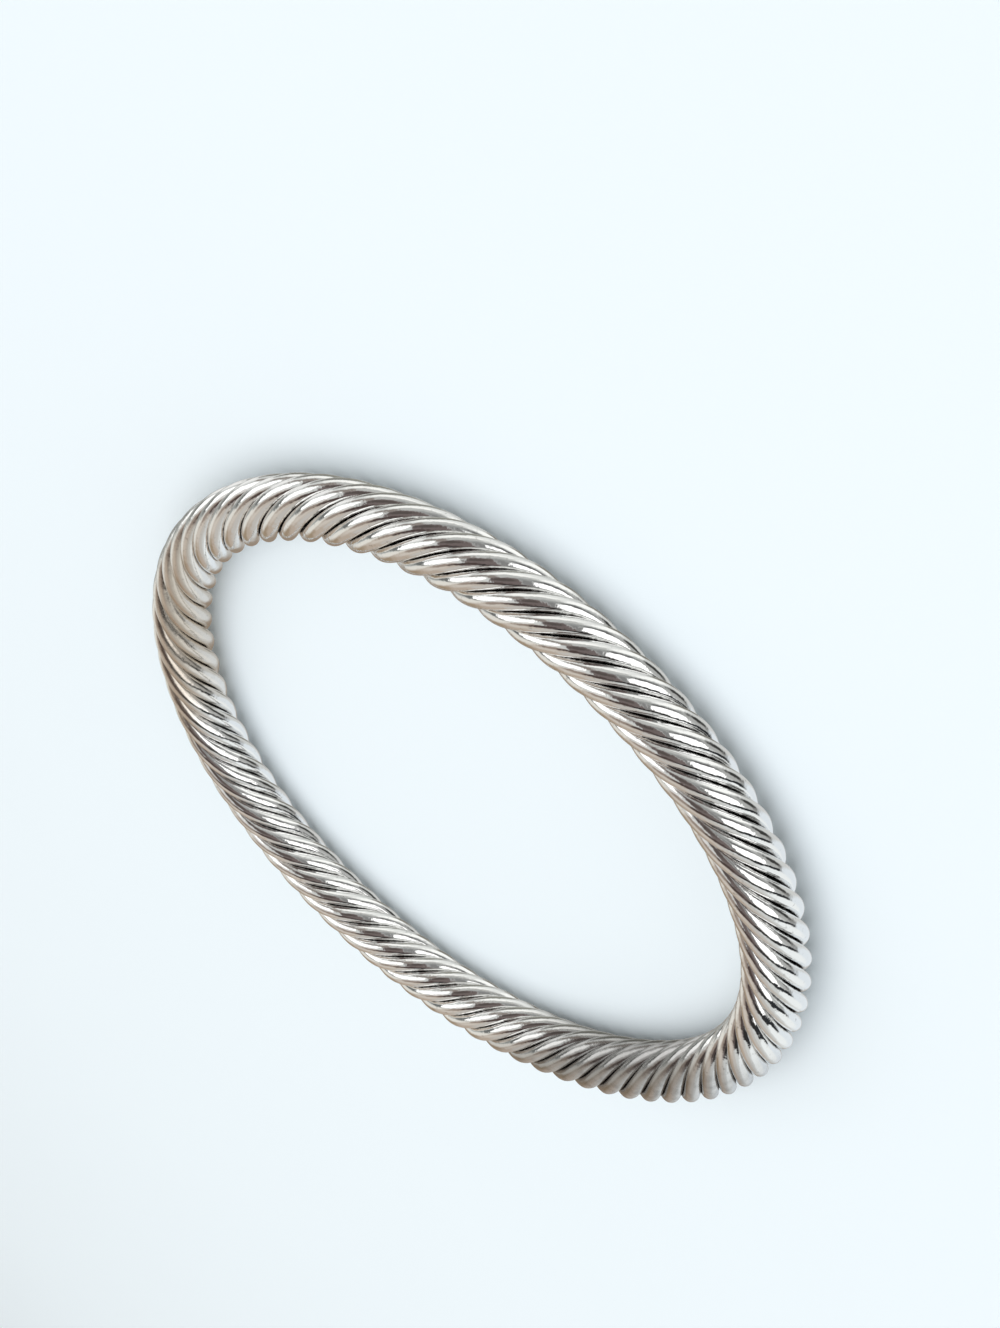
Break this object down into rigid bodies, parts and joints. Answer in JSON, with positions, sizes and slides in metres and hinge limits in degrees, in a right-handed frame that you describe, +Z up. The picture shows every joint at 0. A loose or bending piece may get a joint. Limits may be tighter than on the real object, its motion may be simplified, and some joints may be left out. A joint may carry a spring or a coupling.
{
  "type": "twisted wire bangle",
  "caption": "Closed oval bangle of polished round wires laid left-hand around a core wire, slipped over the hand and worn loose on the wrist.",
  "frame": {"origin": "middle of the wrist opening, on the surface that the bangle lies on", "axes": "+Z up along the axis of the ring, +X along its longer way across, +Y along its shorter way across"},
  "size_m": [0.0672, 0.0621, 0.0052],
  "materials": {
    "core_wire": "dull tarnished silver, hidden under the strands",
    "strand_wire": "polished silver with faint grey tarnish"
  },
  "bodies": {
    "root": {"core": "core_wire", "strand_1": "strand_wire", "strand_2": "strand_wire", "strand_3": "strand_wire", "strand_4": "strand_wire", "strand_5": "strand_wire", "strand_6": "strand_wire", "strand_7": "strand_wire"}
  },
  "joints": []
}
